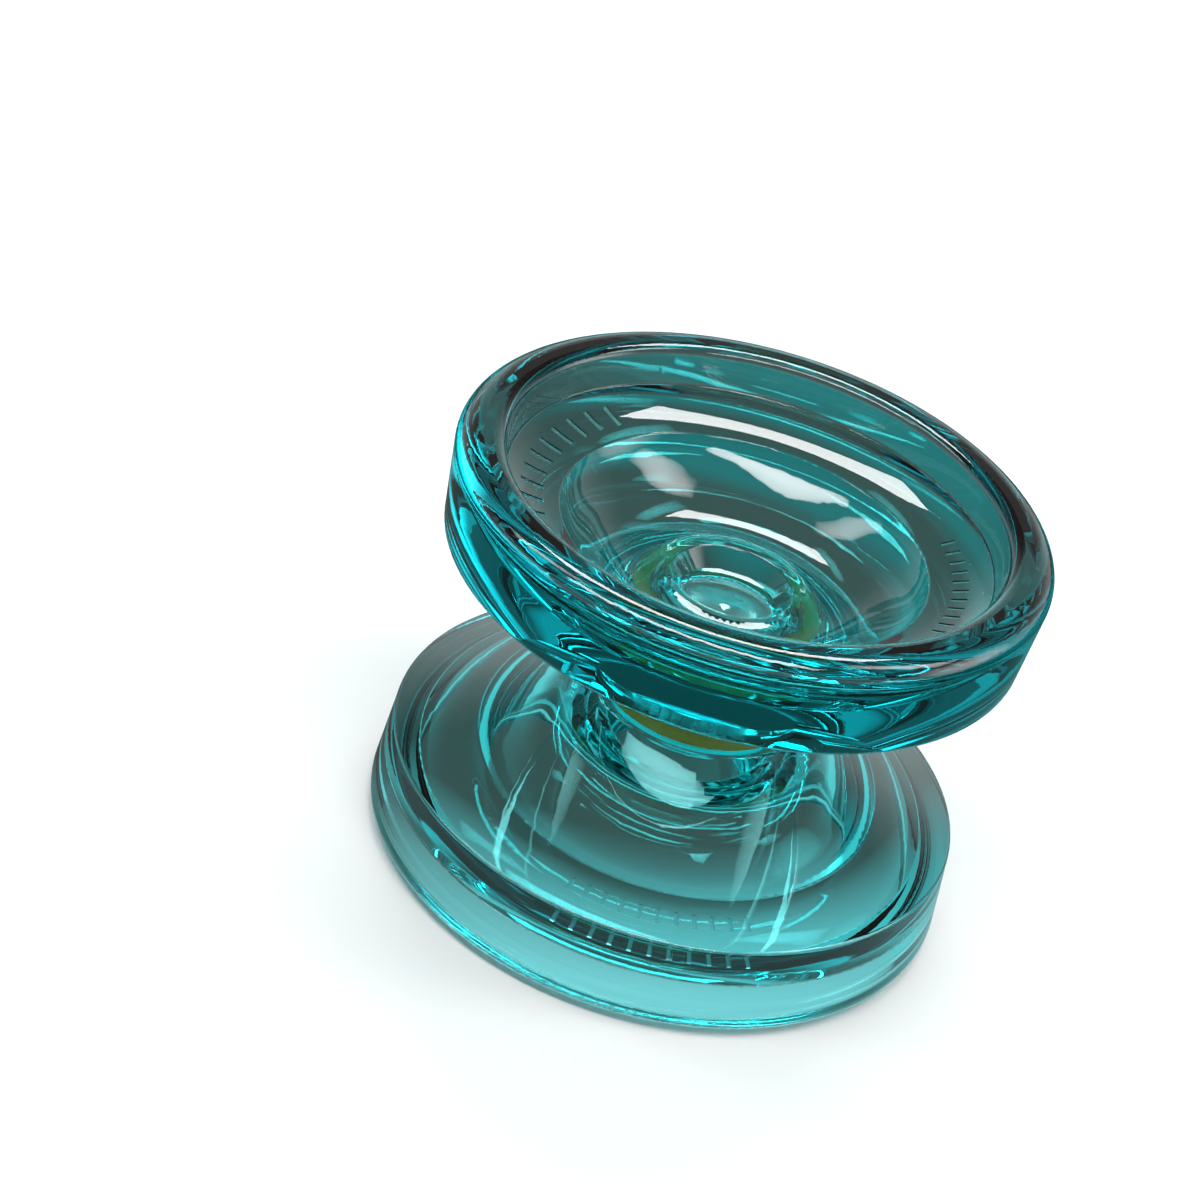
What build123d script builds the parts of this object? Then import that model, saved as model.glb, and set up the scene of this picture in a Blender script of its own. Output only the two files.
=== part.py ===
from build123d import *
import math
import os

# A clear plastic yo-yo: two identical flared halves on one axle, with a ball bearing
# between them. +Z is the spin axis and the origin is the middle of the string gap.
# All sizes are in millimetres.

os.makedirs("parts", exist_ok=True)

# ---- overall sizes ----
diameter = 56.0
width = 41.6
string_gap = 4.3

# ---- rim, from the outside in ----
crease_drop = 1.9
crest_inset = 2.3
land_width = 0.9
lip_round_width = 1.3
lip_round_height = 0.9
outer_wall_draft = 0.66
outer_corner_z = 11.3
outer_corner_round = 0.45
flare_hollow = 0.6

# ---- cup side ----
ring_inset = 5.05
ring_drop = 3.65
ring_width = 5.55
ring_fall = 2.05
ring_sag = 0.35
lip_root_round = 0.35
bowl_steep_run = 2.4
bowl_steep_fall = 2.35

# ---- hub dish on the cup side ----
dish_rim_r = 5.8
dish_floor_r = 4.45
dish_depth = 1.95
dish_floor_rise = 0.25
dish_edge_round = 0.25
dish_floor_skin = 2.73
hub_rim_width = 0.75
hub_moat_width = 1.6
hub_moat_depth = 0.3

# ---- engraved ticks on the cup ring ----
tick_depth = 0.14
tick_band = 2.3
tick_small_band = 1.38
tick_thickness = 0.55
tick_small_thickness = 0.35
tick_overcut = 0.6
tick_slant = 12.0
long_tick_angles = [140.0 + 7.0 * i for i in range(10)]
short_tick_angles = [-20.0 + 4.6 * i for i in range(11)]
half_turn = 80.0

# ---- ball bearing ----
bearing_od = 12.70
bearing_bore = 6.35
bearing_width = 4.76
shield_ledge = 0.3375
ball_diameter = 2.0
ball_count = 8
ball_clearance = 0.04
groove_depth = 0.34
shield_thickness = 0.2
shield_gap = 0.1
shield_lip = 0.03
snap_wire = 0.26
snap_clearance = 0.02
snap_end_inset = 0.10
snap_opening = 40.0
cage_wall = 0.7
cage_rail = 0.22
ball_pocket_clearance = 0.08
race_edge_chamfer = 0.18

# ---- metal hub inserts and axle ----
post_clearance = 0.02
post_end_gap = 0.05
insert_clearance = 0.02
seat_shoulder_inset = 0.2125
insert_body_step = 0.75
insert_flange_step = 0.8
insert_flange_thickness = 1.3
insert_cap = 0.4
insert_dimple_r = 0.7
knurl_count = 48
knurl_depth = 0.28
axle_diameter = 4.0
axle_length = 10.0
axle_end_gap = 0.1
axle_chamfer = 0.4
thread_clearance = 0.02
socket_across_flats = 2.0
socket_depth = 2.0

# ---- response pads ----
bearing_side_clearance = 0.3
bearing_end_clearance = 0.37
pocket_wall = 0.6
pad_width = 2.35
pad_thickness = 1.2
pad_clearance = 0.03
pad_edge_round = 0.15
hub_land = 1.0
hub_land_round = 0.6

# ---- values that follow from the ones above ----
outer_r = diameter / 2
half_width = width / 2
gap_z = string_gap / 2
bearing_r = bearing_od / 2
bore_r = bearing_bore / 2
bearing_z = bearing_width / 2
ball_r = ball_diameter / 2
groove_r = ball_r + ball_clearance
pitch_r = (bearing_r + bore_r) / 2
inner_land_r = pitch_r - groove_r + groove_depth
outer_land_r = pitch_r + groove_r - groove_depth
shield_bore_r = inner_land_r + shield_gap
shield_seat_r = outer_land_r + shield_ledge
shield_top_z = bearing_z - snap_end_inset - snap_wire - snap_clearance
shield_seat_z = shield_top_z - shield_thickness
snap_r = shield_seat_r - shield_lip - snap_wire / 2
snap_z = shield_top_z + snap_clearance + snap_wire / 2
cage_height = 2 * (ball_r + ball_pocket_clearance + cage_rail)

pocket_r = bearing_r + bearing_side_clearance
pocket_z = bearing_z + bearing_end_clearance
recess_in_r = pocket_r + pocket_wall
recess_out_r = recess_in_r + pad_width
recess_z = gap_z + pad_thickness
land_out_r = recess_out_r + hub_land

seat_shoulder_r = inner_land_r - seat_shoulder_inset
insert_body_r = seat_shoulder_r + insert_body_step
insert_flange_r = insert_body_r + insert_flange_step
flange_top_z = axle_length / 2 + axle_end_gap + insert_cap
flange_base_z = flange_top_z - insert_flange_thickness
dish_floor_z = flange_top_z + insert_clearance + dish_floor_skin
dish_rim_z = dish_floor_z + dish_depth

ring_out_r = outer_r - ring_inset
ring_out_z = half_width - ring_drop
ring_in_r = ring_out_r - ring_width
ring_in_z = ring_out_z - ring_fall
crest_out_r = outer_r - crest_inset
crest_in_r = crest_out_r - land_width
crease_z = half_width - crease_drop
lip_in_r = crest_in_r - lip_round_width
lip_in_z = half_width - lip_round_height
hub_out_r = dish_rim_r + hub_rim_width
moat_r = hub_out_r + hub_moat_width
moat_z = dish_rim_z - hub_moat_depth
corner_r = outer_r - outer_wall_draft
flare_angle = math.atan2(outer_corner_z - gap_z, corner_r - land_out_r)
flare_mid_r = (land_out_r + corner_r) / 2 - flare_hollow * math.sin(flare_angle)
flare_mid_z = (gap_z + outer_corner_z) / 2 + flare_hollow * math.cos(flare_angle)
ring_mid_r = (ring_out_r + ring_in_r) / 2
ring_mid_z = (ring_out_z + ring_in_z) / 2 - ring_sag


def nearest(shapes, x, y):
    """The vertex nearest to a point in a sketch's own coordinates."""
    return shapes.sort_by_distance(Vector(x, y, 0))[0]


# ---- engraved ticks: a thin layer of the cup ring, kept only under the ticks ----
with BuildPart() as ticks:
    with BuildSketch(Plane.XZ):
        with BuildLine():
            ThreePointArc(
                (ring_in_r, ring_in_z - tick_depth),
                (ring_mid_r, ring_mid_z - tick_depth),
                (ring_out_r, ring_out_z - tick_depth),
            )
            Polyline(
                (ring_out_r, ring_out_z - tick_depth),
                (ring_out_r, ring_out_z + tick_overcut),
                (ring_in_r, ring_in_z + tick_overcut),
                (ring_in_r, ring_in_z - tick_depth),
            )
        make_face()
    revolve(axis=Axis.Z)
    with BuildSketch(Plane.XY.offset(ring_in_z - 1.0)):
        for angle in long_tick_angles:
            with PolarLocations(ring_mid_r, 1, angle):
                Rectangle(tick_band, tick_thickness, rotation=tick_slant)
        for angle in short_tick_angles:
            with PolarLocations(ring_mid_r, 1, angle):
                Rectangle(tick_small_band, tick_small_thickness)
    extrude(amount=half_width - ring_in_z + 1.0, mode=Mode.INTERSECT)

# ---- upper half: one turned profile, then the ticks ----
with BuildPart() as upper_half:
    with BuildSketch(Plane.XZ) as half_profile:
        with BuildLine():
            # hub pocket for the metal insert, bearing pocket and pad recess
            Polyline(
                (0, flange_top_z + insert_clearance),
                (insert_flange_r + insert_clearance, flange_top_z + insert_clearance),
                (insert_flange_r + insert_clearance, flange_base_z - insert_clearance),
                (insert_body_r + insert_clearance, flange_base_z - insert_clearance),
                (insert_body_r + insert_clearance, pocket_z),
                (pocket_r, pocket_z),
                (pocket_r, gap_z),
                (recess_in_r, gap_z),
                (recess_in_r, recess_z),
                (recess_out_r, recess_z),
                (recess_out_r, gap_z),
                (land_out_r, gap_z),
            )
            # flare from the hub to the rim, slightly hollow, then the outer wall
            ThreePointArc((land_out_r, gap_z), (flare_mid_r, flare_mid_z), (corner_r, outer_corner_z))
            Line((corner_r, outer_corner_z), (outer_r, crease_z))
            # rounded rim with a narrow flat land to stand on
            EllipticalCenterArc((crest_out_r, crease_z), crest_inset, crease_drop, 0, arc_size=90)
            Line((crest_out_r, half_width), (crest_in_r, half_width))
            EllipticalCenterArc((crest_in_r, lip_in_z), lip_round_width, lip_round_height, 90, arc_size=90)
            Line((lip_in_r, lip_in_z), (ring_out_r, ring_out_z))
            # ring that carries the ticks, slightly hollow
            ThreePointArc((ring_out_r, ring_out_z), (ring_mid_r, ring_mid_z), (ring_in_r, ring_in_z))
            # bowl, steep under the ring and almost level at the hub
            Spline(
                (ring_in_r, ring_in_z),
                (ring_in_r - bowl_steep_run, ring_in_z - bowl_steep_fall),
                (moat_r, moat_z),
                tangents=[(-0.62, -1.0), (-1.0, 0.0)],
            )
            Spline(
                (moat_r, moat_z),
                (hub_out_r, dish_rim_z),
                tangents=[(-1.0, 0.0), (-1.0, 0.35)],
            )
            Polyline(
                (hub_out_r, dish_rim_z),
                (dish_rim_r, dish_rim_z),
                (dish_floor_r, dish_floor_z + dish_floor_rise),
            )
            Spline(
                (dish_floor_r, dish_floor_z + dish_floor_rise),
                (0, dish_floor_z),
                tangents=[(-1.0, -0.35), (-1.0, 0.0)],
            )
            Line((0, dish_floor_z), (0, flange_top_z + insert_clearance))
        make_face()
        corner = nearest(half_profile.vertices(), corner_r, outer_corner_z)
        fillet(corner, outer_corner_round)
        hub_land_edge = nearest(half_profile.vertices(), land_out_r, gap_z)
        fillet(hub_land_edge, hub_land_round)
        lip_root = nearest(half_profile.vertices(), ring_out_r, ring_out_z)
        fillet(lip_root, lip_root_round)
        ring_edge = nearest(half_profile.vertices(), ring_in_r, ring_in_z)
        fillet(ring_edge, lip_root_round)
        dish_edge = nearest(half_profile.vertices(), dish_rim_r, dish_rim_z)
        fillet(dish_edge, dish_edge_round)
    revolve(axis=Axis.Z)
    add(ticks.part, mode=Mode.SUBTRACT)
upper_half.part.label = "upper_half"
export_step(upper_half.part, "parts/upper_half.step")

# ---- lower half: the same moulding, turned over, at the angle where the screw comes tight ----
with BuildPart() as lower_half:
    add(upper_half.part, rotation=(180, 0, half_turn))
lower_half.part.label = "lower_half"
export_step(lower_half.part, "parts/lower_half.step")

# ---- metal insert, moulded in: bearing post, shoulder, body and knurled flange, tapped blind ----
with BuildPart() as upper_insert:
    with BuildSketch(Plane.XZ):
        with BuildLine():
            Polyline(
                (0, post_end_gap),
                (bore_r - post_clearance, post_end_gap),
                (bore_r - post_clearance, bearing_z),
                (seat_shoulder_r, bearing_z),
                (seat_shoulder_r, pocket_z),
                (insert_body_r, pocket_z),
                (insert_body_r, flange_base_z),
                (insert_flange_r, flange_base_z),
                (insert_flange_r, flange_top_z),
                (insert_dimple_r, flange_top_z),
                (0, flange_top_z - insert_cap / 2),
                close=True,
            )
        make_face()
    revolve(axis=Axis.Z)
    with BuildSketch(Plane.XY.offset(flange_base_z)):
        with PolarLocations(insert_flange_r, knurl_count):
            Rectangle(knurl_depth * 2, knurl_depth * 2, rotation=45)
    extrude(amount=insert_flange_thickness, mode=Mode.SUBTRACT)
    with Locations((0, 0, 0)):
        Cylinder(
            axle_diameter / 2 + thread_clearance,
            axle_length / 2 + axle_end_gap,
            align=(Align.CENTER, Align.CENTER, Align.MIN),
            mode=Mode.SUBTRACT,
        )
upper_insert.part.label = "upper_insert"
export_step(upper_insert.part, "parts/upper_insert.step")

with BuildPart() as lower_insert:
    add(upper_insert.part, rotation=(180, 0, 0))
lower_insert.part.label = "lower_insert"
export_step(lower_insert.part, "parts/lower_insert.step")

# ---- axle: a headless screw with a hexagon socket in each end ----
with BuildPart() as axle:
    Cylinder(axle_diameter / 2, axle_length)
    chamfer(axle.edges().filter_by(GeomType.CIRCLE), axle_chamfer)
    for end_plane in (Plane.XY.offset(axle_length / 2), Plane.XY.offset(-axle_length / 2 + socket_depth)):
        with BuildSketch(end_plane):
            RegularPolygon(socket_across_flats / 2, 6, major_radius=False)
        extrude(amount=-socket_depth, mode=Mode.SUBTRACT)
axle.part.label = "axle"
export_step(axle.part, "parts/axle.step")

# ---- response pads, let into the recess beside the bearing ----
with BuildPart() as upper_pad:
    with BuildSketch(Plane.XY.offset(gap_z)):
        Circle(recess_out_r - pad_clearance)
        Circle(recess_in_r + pad_clearance, mode=Mode.SUBTRACT)
    extrude(amount=pad_thickness - pad_clearance)
    pad_edges = upper_pad.edges().filter_by(GeomType.CIRCLE).group_by(Axis.Z)[0]
    fillet(pad_edges, pad_edge_round)
upper_pad.part.label = "upper_pad"
export_step(upper_pad.part, "parts/upper_pad.step")

with BuildPart() as lower_pad:
    add(upper_pad.part, rotation=(180, 0, 0))
lower_pad.part.label = "lower_pad"
export_step(lower_pad.part, "parts/lower_pad.step")

# ---- bearing rings, each with a rounded ball groove ----
with BuildPart() as inner_ring:
    Cylinder(inner_land_r, bearing_width)
    Cylinder(bore_r, bearing_width, mode=Mode.SUBTRACT)
    chamfer(inner_ring.edges().filter_by(GeomType.CIRCLE), race_edge_chamfer / 2)
    Torus(pitch_r, groove_r, mode=Mode.SUBTRACT)
inner_ring.part.label = "inner_ring"
export_step(inner_ring.part, "parts/inner_ring.step")

with BuildPart() as outer_ring:
    Cylinder(bearing_r, bearing_width)
    chamfer(outer_ring.edges().filter_by(GeomType.CIRCLE), race_edge_chamfer)
    Cylinder(outer_land_r, bearing_width, mode=Mode.SUBTRACT)
    for side in (1, -1):
        with Locations((0, 0, side * bearing_z)):
            Cylinder(shield_seat_r, 2 * (bearing_z - shield_seat_z), mode=Mode.SUBTRACT)
    Torus(pitch_r, groove_r, mode=Mode.SUBTRACT)
outer_ring.part.label = "outer_ring"
export_step(outer_ring.part, "parts/outer_ring.step")

# ---- ball cage: a ring with one round pocket for each ball ----
with BuildPart() as ball_cage:
    Cylinder(pitch_r + cage_wall / 2, cage_height)
    Cylinder(pitch_r - cage_wall / 2, cage_height, mode=Mode.SUBTRACT)
    with PolarLocations(pitch_r, ball_count):
        Cylinder(
            ball_r + ball_pocket_clearance,
            cage_wall * 3,
            rotation=(0, 90, 0),
            mode=Mode.SUBTRACT,
        )
ball_cage.part.label = "ball_cage"
export_step(ball_cage.part, "parts/ball_cage.step")

# ---- balls ----
for index in range(ball_count):
    turn = 2 * math.pi * index / ball_count
    with BuildPart() as ball:
        with Locations((pitch_r * math.cos(turn), pitch_r * math.sin(turn), 0)):
            Sphere(ball_r)
    ball.part.label = f"ball_{index + 1}"
    export_step(ball.part, f"parts/ball_{index + 1}.step")

# ---- shields and the snap rings that hold them in the outer ring ----
with BuildPart() as upper_shield:
    with BuildSketch(Plane.XY.offset(shield_seat_z)):
        Circle(shield_seat_r - shield_lip)
        Circle(shield_bore_r, mode=Mode.SUBTRACT)
    extrude(amount=shield_thickness)
upper_shield.part.label = "upper_shield"
export_step(upper_shield.part, "parts/upper_shield.step")

with BuildPart() as lower_shield:
    add(upper_shield.part, rotation=(180, 0, 0))
lower_shield.part.label = "lower_shield"
export_step(lower_shield.part, "parts/lower_shield.step")

with BuildPart() as upper_snap_ring:
    with BuildSketch(Plane.XZ):
        with Locations((snap_r, snap_z)):
            Circle(snap_wire / 2)
    revolve(axis=Axis.Z, revolution_arc=360 - snap_opening)
upper_snap_ring.part.label = "upper_snap_ring"
export_step(upper_snap_ring.part, "parts/upper_snap_ring.step")

with BuildPart() as lower_snap_ring:
    add(upper_snap_ring.part, rotation=(180, 0, 0))
lower_snap_ring.part.label = "lower_snap_ring"
export_step(lower_snap_ring.part, "parts/lower_snap_ring.step")
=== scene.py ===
import bpy
import math
from mathutils import Matrix, Vector


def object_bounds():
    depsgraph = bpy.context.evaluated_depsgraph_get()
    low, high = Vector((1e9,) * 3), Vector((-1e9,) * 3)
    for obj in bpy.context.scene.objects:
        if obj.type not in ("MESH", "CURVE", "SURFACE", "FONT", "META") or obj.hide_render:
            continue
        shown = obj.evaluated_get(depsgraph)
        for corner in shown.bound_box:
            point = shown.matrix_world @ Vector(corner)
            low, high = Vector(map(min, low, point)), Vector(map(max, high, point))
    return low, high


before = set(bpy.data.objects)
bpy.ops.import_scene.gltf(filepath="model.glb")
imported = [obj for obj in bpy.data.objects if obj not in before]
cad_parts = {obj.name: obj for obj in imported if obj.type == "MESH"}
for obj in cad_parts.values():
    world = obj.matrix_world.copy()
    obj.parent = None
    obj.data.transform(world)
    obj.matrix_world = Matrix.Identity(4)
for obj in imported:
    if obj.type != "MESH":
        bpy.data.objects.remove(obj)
CAD_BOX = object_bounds()

MM = 0.001

# ---- the cup's ring and the ticks engraved in it, in metres ----
RING_IN_R = 17.4 * MM
RING_OUT_R = 22.95 * MM
RING_IN_Z = 15.1 * MM
RING_RISE = 2.05 * MM
RING_SAG = 0.35 * MM
TICK_DEPTH = 0.14 * MM
TICK_IN_MARGIN = 0.4 * MM
TICK_OUT_MARGIN = 0.5 * MM
TICK_FADE = 0.1 * MM

# ---- camera ----
CAMERA_ELEVATION = math.radians(33.04)
CAMERA_DISTANCE = 0.3112
CAMERA_ROLL = math.radians(15.99)
CAMERA_LENS = 99.6
CAMERA_SENSOR = 36.0
CAMERA_NEAR = 0.01
CAMERA_FAR = 20.0
CAMERA_AIM = Vector((-0.0113, 0.0016, 0.0029))

# ---- floor as the camera sees it: paper that turns into the backdrop far away ----
FLOOR_Z = CAD_BOX[0][2]
FLOOR_SIZE = 6.0
PAPER_SHADE = (0.90, 0.90, 0.90, 1.0)
PAPER_LIGHT = (0.92, 0.92, 0.92, 1.0)
PAPER_ROUGHNESS = 0.6
PAPER_SCALE = 3.0
PAPER_NEAR_R = 0.15
PAPER_FAR_R = 0.45
BACKDROP = (0.95, 0.95, 0.95, 1.0)

# ---- floor as other rays see it: it glows with painted teal light, with painted shade in a patch behind and under the yo-yo ----
PATCH_PLACE = (-0.012, 0.034, 0.0)
PATCH_IN_R = 0.044
PATCH_OUT_R = 0.060
UNDER_IN_R = 0.018
UNDER_OUT_R = 0.025
FAR_IN_R = 0.048
FAR_OUT_R = 0.068
# painted shade: the dark patch behind the yo-yo and under it
PAINTED_SHADE_COLOUR = (0.110, 0.098, 0.090, 1.0)
# painted teal light: the floor's glow, bright near the yo-yo and dim farther out
NEAR_PAINTED_TEAL_LIGHT = (0.38, 0.70, 0.72, 1.0)
FAR_PAINTED_TEAL_LIGHT = (0.05, 0.21, 0.21, 1.0)

# ---- room around the yo-yo; heights are the upward part of a direction ----
ROOM_LOW = 0.20
ROOM_HIGH = 0.55
HORIZON_COLOUR = (0.85, 0.87, 0.87, 1.0)
OVERHEAD_COLOUR = (0.14, 0.12, 0.11, 1.0)

# ---- clear plastic ----
PLASTIC_IOR = 1.58
PLASTIC_DEPTH_COLOUR = (0.05, 0.90, 0.915, 1.0)
PLASTIC_DEPTH_DENSITY = 165.0
CLEAR_TINT = (0.97, 0.995, 1.0, 1.0)
FROST_TINT = (0.98, 1.0, 1.0, 1.0)
POLISHED_ROUGHNESS = 0.012
FROST_ROUGHNESS = 0.55
SCRATCH_ROUGHNESS = 0.05
SCRATCH_STRETCH = (1.0, 14.0, 5.0)
SCRATCH_TURN = (0.3, 0.5, 0.9)
SCRATCH_SCALE = 420.0
SCRATCH_START = 0.66
SCRATCH_FULL = 0.74
HAZE_ROUGHNESS = 0.02
HAZE_SCALE = 90.0
HAZE_START = 0.45
HAZE_FULL = 0.8
RIPPLE_SCALE = 160.0
RIPPLE_STRENGTH = 0.01
RIPPLE_HEIGHT = 0.02 * MM

# ---- turned metal ----
TURNED_SCALE = 9000.0
TURNED_ROUGHNESS = 0.08
TURNED_HEIGHT = 0.01 * MM
STAIN_SCALE = 700.0
STAIN_ROUGHNESS = 0.1

# ---- silicone pads ----
SILICONE_IOR = 1.41
SILICONE_CLEARNESS = 0.55
SILICONE_DARK = (0.36, 0.36, 0.06, 1.0)
SILICONE_LIGHT = (0.52, 0.50, 0.10, 1.0)
SILICONE_DULL = 0.5
SILICONE_SHINY = 0.38
CLOUD_SCALE = 350.0
GRAIN_SCALE = 5200.0
GRAIN_STRENGTH = 0.25
GRAIN_HEIGHT = 0.02 * MM

# ---- lights: name, place, size, radiance, and how softly it fades towards its edges ----
LIGHTS = (
    ("back_light", (-0.02, 0.45, 0.74), (0.50, 0.16), 12.0, 0.0),
    ("front_light", (-0.06, -0.26, 0.86), (1.10, 0.16), 14.0, 0.25),
    ("left_light", (-0.50, 0.10, 0.70), (0.14, 0.40), 6.0, 0.5),
    ("right_light", (0.50, 0.12, 0.70), (0.22, 0.44), 7.0, 0.6),
    ("side_light", (0.75, 0.10, 0.30), (0.60, 0.50), 3.5, 1.0),
)


def make_camera():
    """The camera looks down at the yo-yo from the front, rolled about its own line of sight."""
    data = bpy.data.cameras.new("camera")
    data.sensor_width = CAMERA_SENSOR
    data.lens = CAMERA_LENS
    data.clip_start = CAMERA_NEAR
    data.clip_end = CAMERA_FAR
    camera = bpy.data.objects.new("camera", data)
    bpy.context.collection.objects.link(camera)
    direction = Vector((0, -math.cos(CAMERA_ELEVATION), math.sin(CAMERA_ELEVATION)))
    place = direction * CAMERA_DISTANCE
    turn = (CAMERA_AIM - place).to_track_quat("-Z", "Y").to_matrix().to_4x4()
    roll = Matrix.Rotation(CAMERA_ROLL, 4, "Z")
    camera.matrix_world = Matrix.Translation(place) @ turn @ roll
    bpy.context.scene.camera = camera


class Nodes:
    """A short way to build a node tree."""

    def __init__(self, tree):
        self.tree = tree
        self.tree.nodes.clear()

    def add(self, kind, inputs=None, **settings):
        node = self.tree.nodes.new(kind)
        for key, value in settings.items():
            setattr(node, key, value)
        for key, value in (inputs or {}).items():
            self.put(value, node.inputs[key])
        return node

    def put(self, value, socket):
        """Links another node's output to the socket, or sets it to a constant."""
        if isinstance(value, bpy.types.NodeSocket):
            self.tree.links.new(value, socket)
        else:
            socket.default_value = value

    def place(self):
        return self.add("ShaderNodeTexCoord").outputs["Object"]

    def split(self, vector):
        return self.add("ShaderNodeSeparateXYZ", {0: vector}).outputs

    def length(self, vector):
        return self.add("ShaderNodeVectorMath", {0: vector}, operation="LENGTH").outputs["Value"]

    def axle_distance(self, parts):
        """The distance from the z axis, which is the axle's line."""
        flat = self.add("ShaderNodeCombineXYZ", {"X": parts["X"], "Y": parts["Y"]})
        return self.length(flat.outputs[0])

    def math(self, operation, first, second=0.5):
        return self.add("ShaderNodeMath", {0: first, 1: second}, operation=operation).outputs[0]

    def noise(self, vector, scale, detail=4.0, roughness=0.55):
        node = self.add(
            "ShaderNodeTexNoise",
            {"Vector": vector, "Scale": scale, "Detail": detail, "Roughness": roughness},
        )
        return node.outputs["Fac"]

    def ramp(self, value, low, high, low_to=0.0, high_to=1.0):
        """Goes straight from low_to at low to high_to at high, and stays there beyond them."""
        node = self.add(
            "ShaderNodeMapRange",
            {
                "Value": value,
                "From Min": low,
                "From Max": high,
                "To Min": low_to,
                "To Max": high_to,
            },
            clamp=True,
        )
        return node.outputs["Result"]

    def mix_colour(self, factor, first, second):
        """The colour sockets of this node are found by number: 0 is the factor, 6 and 7 the colours."""
        node = self.add("ShaderNodeMix", {0: factor}, data_type="RGBA")
        self.put(first, node.inputs[6])
        self.put(second, node.inputs[7])
        return node.outputs[2]

    def bump(self, height, strength, distance):
        node = self.add(
            "ShaderNodeBump",
            {"Height": height, "Strength": strength, "Distance": distance},
        )
        return node.outputs[0]

    def surface(self, colour, roughness, normal):
        return self.add(
            "ShaderNodeBsdfPrincipled",
            {"Base Color": colour, "Roughness": roughness, "Normal": normal},
        )

    def mix_shader(self, factor, first, second):
        return self.add("ShaderNodeMixShader", {0: factor, 1: first, 2: second}).outputs[0]

    def camera_ray(self):
        return self.add("ShaderNodeLightPath").outputs["Is Camera Ray"]

    def finish(self, kind, **results):
        output = self.add(kind)
        for key, value in results.items():
            self.tree.links.new(value, output.inputs[key])


def new_material(name):
    material = bpy.data.materials.new(name)
    material.use_nodes = True
    return material, Nodes(material.node_tree)


def engraving(n, parts):
    """1 on the floors of the ticks engraved in the cup's ring, and 0 elsewhere."""
    radius = n.axle_distance(parts)
    height = n.math("ABSOLUTE", parts["Z"])
    # the ring is a cone that sags a little between its edges
    across = n.math("DIVIDE", n.math("SUBTRACT", radius, RING_IN_R), RING_OUT_R - RING_IN_R)
    cone = n.math("ADD", n.math("MULTIPLY", across, RING_RISE), RING_IN_Z)
    bow = n.math("MULTIPLY", across, n.math("SUBTRACT", 1.0, across))
    ring_height = n.math("SUBTRACT", cone, n.math("MULTIPLY", bow, 4.0 * RING_SAG))
    depth = n.math("SUBTRACT", ring_height, height)
    # a tick's floor lies about one tick's depth below the ring, and other surfaces lie deeper
    cut = n.ramp(depth, 0.5 * TICK_DEPTH, 0.8 * TICK_DEPTH)
    shallow = n.ramp(depth, 1.6 * TICK_DEPTH, 2.0 * TICK_DEPTH, low_to=1.0, high_to=0.0)
    in_start = RING_IN_R + TICK_IN_MARGIN
    out_end = RING_OUT_R - TICK_OUT_MARGIN
    past_inner = n.ramp(radius, in_start, in_start + TICK_FADE)
    before_outer = n.ramp(radius, out_end - TICK_FADE, out_end, low_to=1.0, high_to=0.0)
    on_ring = n.math("MULTIPLY", past_inner, before_outer)
    return n.math("MULTIPLY", n.math("MULTIPLY", cut, shallow), on_ring)


def handling_marks(n, place):
    """Roughness added by faint fine scratches and a little haze."""
    stretched = n.add(
        "ShaderNodeMapping",
        {"Vector": place, "Scale": SCRATCH_STRETCH, "Rotation": SCRATCH_TURN},
    )
    streaks = n.noise(stretched.outputs[0], SCRATCH_SCALE, detail=3.0, roughness=0.6)
    scratches = n.ramp(streaks, SCRATCH_START, SCRATCH_FULL)
    clouds = n.noise(place, HAZE_SCALE, detail=5.0, roughness=0.6)
    haze = n.ramp(clouds, HAZE_START, HAZE_FULL)
    scratched = n.math("MULTIPLY", scratches, SCRATCH_ROUGHNESS)
    return n.math("ADD", scratched, n.math("MULTIPLY", haze, HAZE_ROUGHNESS))


def teal_plastic():
    """Polished clear plastic, tinted through its depth, with frosted floors in the ticks."""
    material, n = new_material("clear_teal_plastic_look")
    place = n.place()
    frost = engraving(n, n.split(place))
    worn = n.math("ADD", handling_marks(n, place), POLISHED_ROUGHNESS)
    roughness = n.math("ADD", n.math("MULTIPLY", frost, FROST_ROUGHNESS), worn)
    ripple = n.bump(n.noise(place, RIPPLE_SCALE, detail=1.0), RIPPLE_STRENGTH, RIPPLE_HEIGHT)
    shader = n.surface(n.mix_colour(frost, CLEAR_TINT, FROST_TINT), roughness, ripple)
    shader.inputs["IOR"].default_value = PLASTIC_IOR
    shader.inputs["Transmission Weight"].default_value = 1.0
    volume = n.add("ShaderNodeVolumeAbsorption")
    volume.inputs["Color"].default_value = PLASTIC_DEPTH_COLOUR
    volume.inputs["Density"].default_value = PLASTIC_DEPTH_DENSITY
    n.finish("ShaderNodeOutputMaterial", Surface=shader.outputs[0], Volume=volume.outputs[0])
    return material


def metal(name, colour, stain, roughness, turned_strength):
    """Metal with fine turning lines about the axle, and small darker and duller stains."""
    material, n = new_material(name)
    place = n.place()
    parts = n.split(place)
    lines = n.add("ShaderNodeCombineXYZ", {"X": n.axle_distance(parts), "Z": parts["Z"]})
    turned = n.noise(lines.outputs[0], TURNED_SCALE, detail=2.0)
    clean = n.noise(place, STAIN_SCALE, detail=5.0, roughness=0.6)
    base = n.mix_colour(n.ramp(clean, 0.35, 0.7), (*stain, 1.0), (*colour, 1.0))
    dull = roughness + STAIN_ROUGHNESS
    stained = n.ramp(clean, 0.3, 0.7, low_to=dull, high_to=roughness)
    rough = n.math("ADD", stained, n.math("MULTIPLY", turned, TURNED_ROUGHNESS))
    shader = n.surface(base, rough, n.bump(turned, turned_strength, TURNED_HEIGHT))
    shader.inputs["Metallic"].default_value = 1.0
    n.finish("ShaderNodeOutputMaterial", Surface=shader.outputs[0])
    return material


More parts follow.
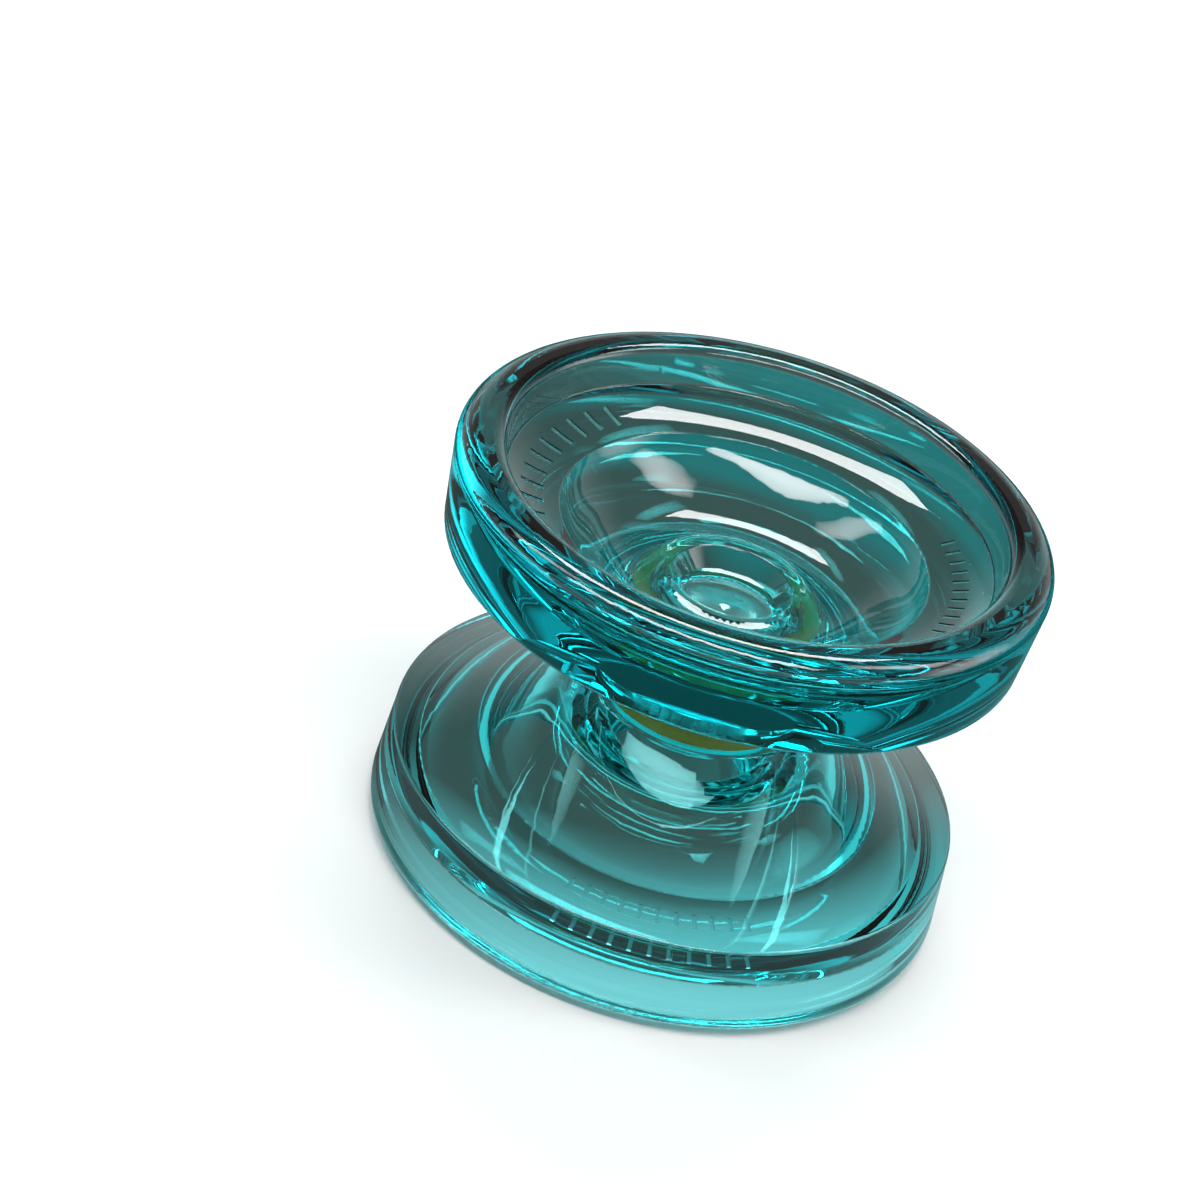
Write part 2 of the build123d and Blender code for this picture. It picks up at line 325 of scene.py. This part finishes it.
def silicone():
    """Soft yellow pad: cloudy, a little see-through and patchy, with a fine moulded grain."""
    material, n = new_material("pad_silicone_look")
    place = n.place()
    patches = n.noise(place, CLOUD_SCALE)
    base = n.mix_colour(n.ramp(patches, 0.35, 0.7), SILICONE_DARK, SILICONE_LIGHT)
    rough = n.ramp(patches, 0.3, 0.7, low_to=SILICONE_DULL, high_to=SILICONE_SHINY)
    grain = n.bump(n.noise(place, GRAIN_SCALE, detail=2.0), GRAIN_STRENGTH, GRAIN_HEIGHT)
    shader = n.surface(base, rough, grain)
    shader.inputs["IOR"].default_value = SILICONE_IOR
    shader.inputs["Transmission Weight"].default_value = SILICONE_CLEARNESS
    n.finish("ShaderNodeOutputMaterial", Surface=shader.outputs[0])
    return material


def floor_material():
    """White paper to the camera. To other rays, a floor glowing with painted teal light, with painted
    shade in a patch behind and under the yo-yo.

    Distances are measured from the yo-yo's middle, or from a point behind it at that height.
    """
    material, n = new_material("floor_look")
    place = n.place()
    from_patch = n.add(
        "ShaderNodeVectorMath",
        {0: place, 1: PATCH_PLACE},
        operation="DISTANCE",
    ).outputs["Value"]
    from_middle = n.length(place)
    tone = n.ramp(n.noise(place, PAPER_SCALE, detail=3.0), 0.3, 0.7)
    white = n.mix_colour(tone, PAPER_SHADE, PAPER_LIGHT)
    near = n.add("ShaderNodeBsdfPrincipled", {"Base Color": white, "Roughness": PAPER_ROUGHNESS})
    backdrop = n.add("ShaderNodeEmission", {"Color": BACKDROP, "Strength": 1.0})
    away = n.ramp(from_middle, PAPER_NEAR_R, PAPER_FAR_R)
    paper = n.mix_shader(away, near.outputs[0], backdrop.outputs[0])
    # painted teal light, bright near the yo-yo and dim farther out
    far = n.mix_colour(n.ramp(from_middle, FAR_IN_R, FAR_OUT_R), NEAR_PAINTED_TEAL_LIGHT, FAR_PAINTED_TEAL_LIGHT)
    # painted shade in a patch behind the yo-yo and under it
    clear_of_patch = n.ramp(from_patch, PATCH_IN_R, PATCH_OUT_R)
    clear_of_object = n.ramp(from_middle, UNDER_IN_R, UNDER_OUT_R)
    painted_glow_and_shade = n.mix_colour(n.math("MULTIPLY", clear_of_patch, clear_of_object), PAINTED_SHADE_COLOUR, far)
    # the floor glows with this painted light and shade, though it is no lamp
    painted_light_emission = n.add("ShaderNodeEmission", {"Color": painted_glow_and_shade, "Strength": 1.0})
    either = n.mix_shader(n.camera_ray(), painted_light_emission.outputs[0], paper)
    n.finish("ShaderNodeOutputMaterial", Surface=either)
    return material


def make_floor():
    half = FLOOR_SIZE / 2
    corners = [(x * half, y * half, FLOOR_Z) for x, y in ((-1, -1), (1, -1), (1, 1), (-1, 1))]
    mesh = bpy.data.meshes.new("floor")
    mesh.from_pydata(corners, [], [(0, 1, 2, 3)])
    mesh.materials.append(floor_material())
    floor = bpy.data.objects.new("floor", mesh)
    bpy.context.collection.objects.link(floor)


def make_world():
    """Pale backdrop to the camera. To other rays, a room bright at the horizon and dim overhead."""
    world = bpy.data.worlds.new("studio")
    world.use_nodes = True
    bpy.context.scene.world = world
    n = Nodes(world.node_tree)
    direction = n.split(n.add("ShaderNodeTexCoord").outputs["Generated"])
    up = n.ramp(direction["Z"], ROOM_LOW, ROOM_HIGH)
    room = n.mix_colour(up, HORIZON_COLOUR, OVERHEAD_COLOUR)
    colour = n.mix_colour(n.camera_ray(), room, BACKDROP)
    back = n.add("ShaderNodeBackground", {"Color": colour, "Strength": 1.0})
    n.finish("ShaderNodeOutputWorld", Surface=back.outputs[0])


def fade_edges(data, soft):
    """Makes a light fade from its middle towards its edges; a larger value fades more."""
    data.use_nodes = True
    n = Nodes(data.node_tree)
    parts = n.split(n.add("ShaderNodeNewGeometry").outputs["Parametric"])
    strength = 1.0
    for axis in ("X", "Y"):
        u = parts[axis]
        hump = n.math("MULTIPLY", n.math("MULTIPLY", u, n.math("SUBTRACT", 1.0, u)), 4.0)
        strength = n.math("MULTIPLY", strength, n.math("POWER", hump, soft))
    glow = n.add("ShaderNodeEmission", {"Strength": strength})
    n.finish("ShaderNodeOutputLight", Surface=glow.outputs[0])


def soft_box(name, place, size, radiance, soft):
    """A rectangular light that faces the yo-yo. The camera doesn't see it."""
    width, height = size
    data = bpy.data.lights.new(name, "AREA")
    data.shape = "RECTANGLE"
    data.size = width
    data.size_y = height
    data.energy = radiance * math.pi * width * height
    if soft:
        fade_edges(data, soft)
    light = bpy.data.objects.new(name, data)
    bpy.context.collection.objects.link(light)
    light.location = place
    light.rotation_euler = (-Vector(place)).to_track_quat("-Z", "Y").to_euler()
    light.visible_camera = False


def dress(names, material):
    """Gives the named CAD nodes a material."""
    for name in names:
        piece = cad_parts[name]
        piece.data.materials.clear()
        piece.data.materials.append(material)


make_camera()
make_floor()
make_world()
for light in LIGHTS:
    soft_box(*light)
bpy.context.scene.view_settings.view_transform = "Standard"

insert_metal = metal(
    "insert_look",
    colour=(0.80, 0.80, 0.79),
    stain=(0.60, 0.60, 0.58),
    roughness=0.22,
    turned_strength=0.3,
)
axle_metal = metal(
    "axle_look",
    colour=(0.10, 0.10, 0.11),
    stain=(0.05, 0.05, 0.05),
    roughness=0.35,
    turned_strength=0.2,
)
bearing_metal = metal(
    "bearing_look",
    colour=(0.78, 0.78, 0.79),
    stain=(0.62, 0.62, 0.62),
    roughness=0.12,
    turned_strength=0.1,
)
cage_metal = metal(
    "cage_look",
    colour=(0.72, 0.66, 0.50),
    stain=(0.50, 0.44, 0.32),
    roughness=0.3,
    turned_strength=0.1,
)
shield_metal = metal(
    "shield_look",
    colour=(0.66, 0.66, 0.67),
    stain=(0.5, 0.5, 0.5),
    roughness=0.25,
    turned_strength=0.2,
)
balls = [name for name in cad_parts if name.startswith("ball_") and name != "ball_cage"]

dress(["upper_half", "lower_half"], teal_plastic())
dress(["upper_insert", "lower_insert"], insert_metal)
dress(["axle"], axle_metal)
dress(["inner_ring", "outer_ring", *balls], bearing_metal)
dress(["ball_cage"], cage_metal)
dress(["upper_shield", "lower_shield", "upper_snap_ring", "lower_snap_ring"], shield_metal)
dress(["upper_pad", "lower_pad"], silicone())
